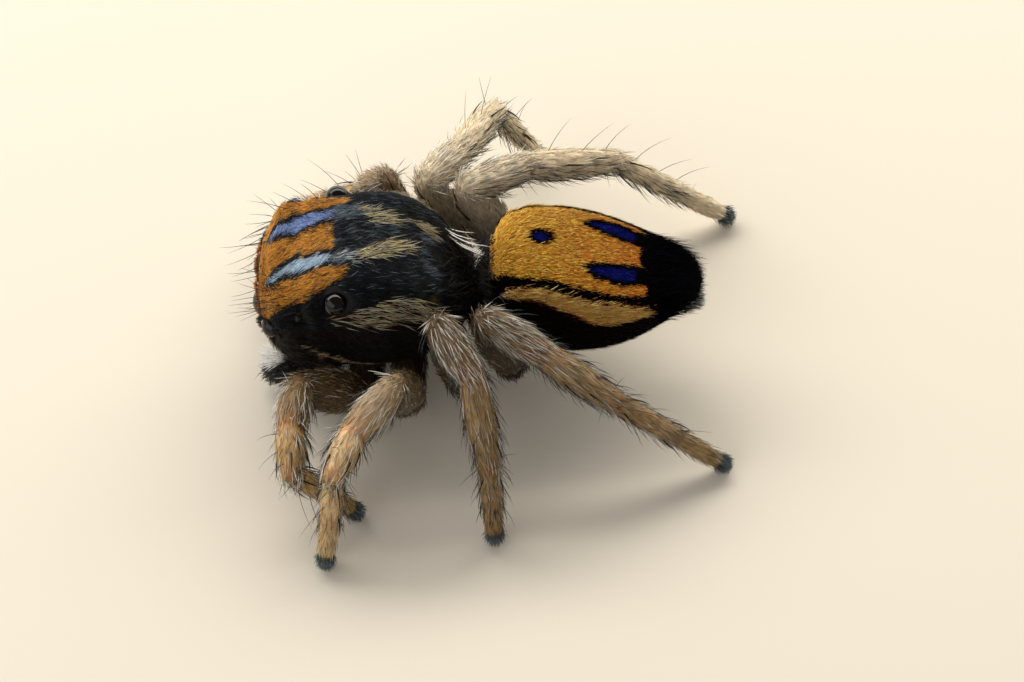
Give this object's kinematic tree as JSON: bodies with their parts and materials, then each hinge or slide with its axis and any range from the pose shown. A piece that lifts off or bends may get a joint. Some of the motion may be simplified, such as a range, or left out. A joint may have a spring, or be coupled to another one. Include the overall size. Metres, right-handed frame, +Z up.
{
  "type": "peacock jumping spider",
  "caption": "Life-size still model of a male peacock jumping spider standing on its feet, with a banded head, orange abdomen plate with dark spots, and hairy tan legs.",
  "frame": {"origin": "on the floor, under the middle of the model's overall box", "axes": "+Z up, the head points to -X, the left side to -Y; the feet stand on Z = 0"},
  "size_m": [0.0056, 0.006, 0.0022],
  "materials": {
    "carapace": "black cuticle under short hair, with a green and blue sheen and orange bands of scales",
    "abdomen": "golden orange scales with dark blue spots and black sides",
    "leg": "tan cuticle under pale lying hairs and dark spines",
    "feeler": "dark hair with a white tuft",
    "eye": "polished black lens",
    "spinneret": "pale blue-grey short hair"
  },
  "bodies": {
    "root": {"abdomen": "abdomen", "cephalothorax": "carapace", "chelicera_left": "carapace", "chelicera_right": "carapace", "eye_anterior_lateral_left": "eye", "eye_anterior_lateral_right": "eye", "eye_anterior_median_left": "eye", "eye_anterior_median_right": "eye", "eye_posterior_lateral_left": "eye", "eye_posterior_lateral_right": "eye", "eye_posterior_median_left": "eye", "eye_posterior_median_right": "eye", "leg_left_1_coxa": "leg", "leg_left_1_femur": "leg", "leg_left_1_foot": "leg", "leg_left_1_patella": "leg", "leg_left_1_tibia": "leg", "leg_left_2_coxa": "leg", "leg_left_2_femur": "leg", "leg_left_2_foot": "leg", "leg_left_2_patella": "leg", "leg_left_2_tibia": "leg", "leg_left_3_coxa": "leg", "leg_left_3_femur": "leg", "leg_left_3_foot": "leg", "leg_left_3_patella": "leg", "leg_left_3_tibia": "leg", "leg_left_4_coxa": "leg", "leg_left_4_femur": "leg", "leg_left_4_foot": "leg", "leg_left_4_patella": "leg", "leg_left_4_tibia": "leg", "leg_right_1_coxa": "leg", "leg_right_1_femur": "leg", "leg_right_1_foot": "leg", "leg_right_1_patella": "leg", "leg_right_1_tibia": "leg", "leg_right_2_coxa": "leg", "leg_right_2_femur": "leg", "leg_right_2_foot": "leg", "leg_right_2_patella": "leg", "leg_right_2_tibia": "leg", "leg_right_3_coxa": "leg", "leg_right_3_femur": "leg", "leg_right_3_foot": "leg", "leg_right_3_patella": "leg", "leg_right_3_tibia": "leg", "leg_right_4_coxa": "leg", "leg_right_4_femur": "leg", "leg_right_4_foot": "leg", "leg_right_4_patella": "leg", "leg_right_4_tibia": "leg", "palp_left_arm": "feeler", "palp_left_tip": "feeler", "palp_right_arm": "feeler", "palp_right_tip": "feeler", "pedicel": "carapace", "spinnerets": "spinneret"}
  },
  "joints": []
}
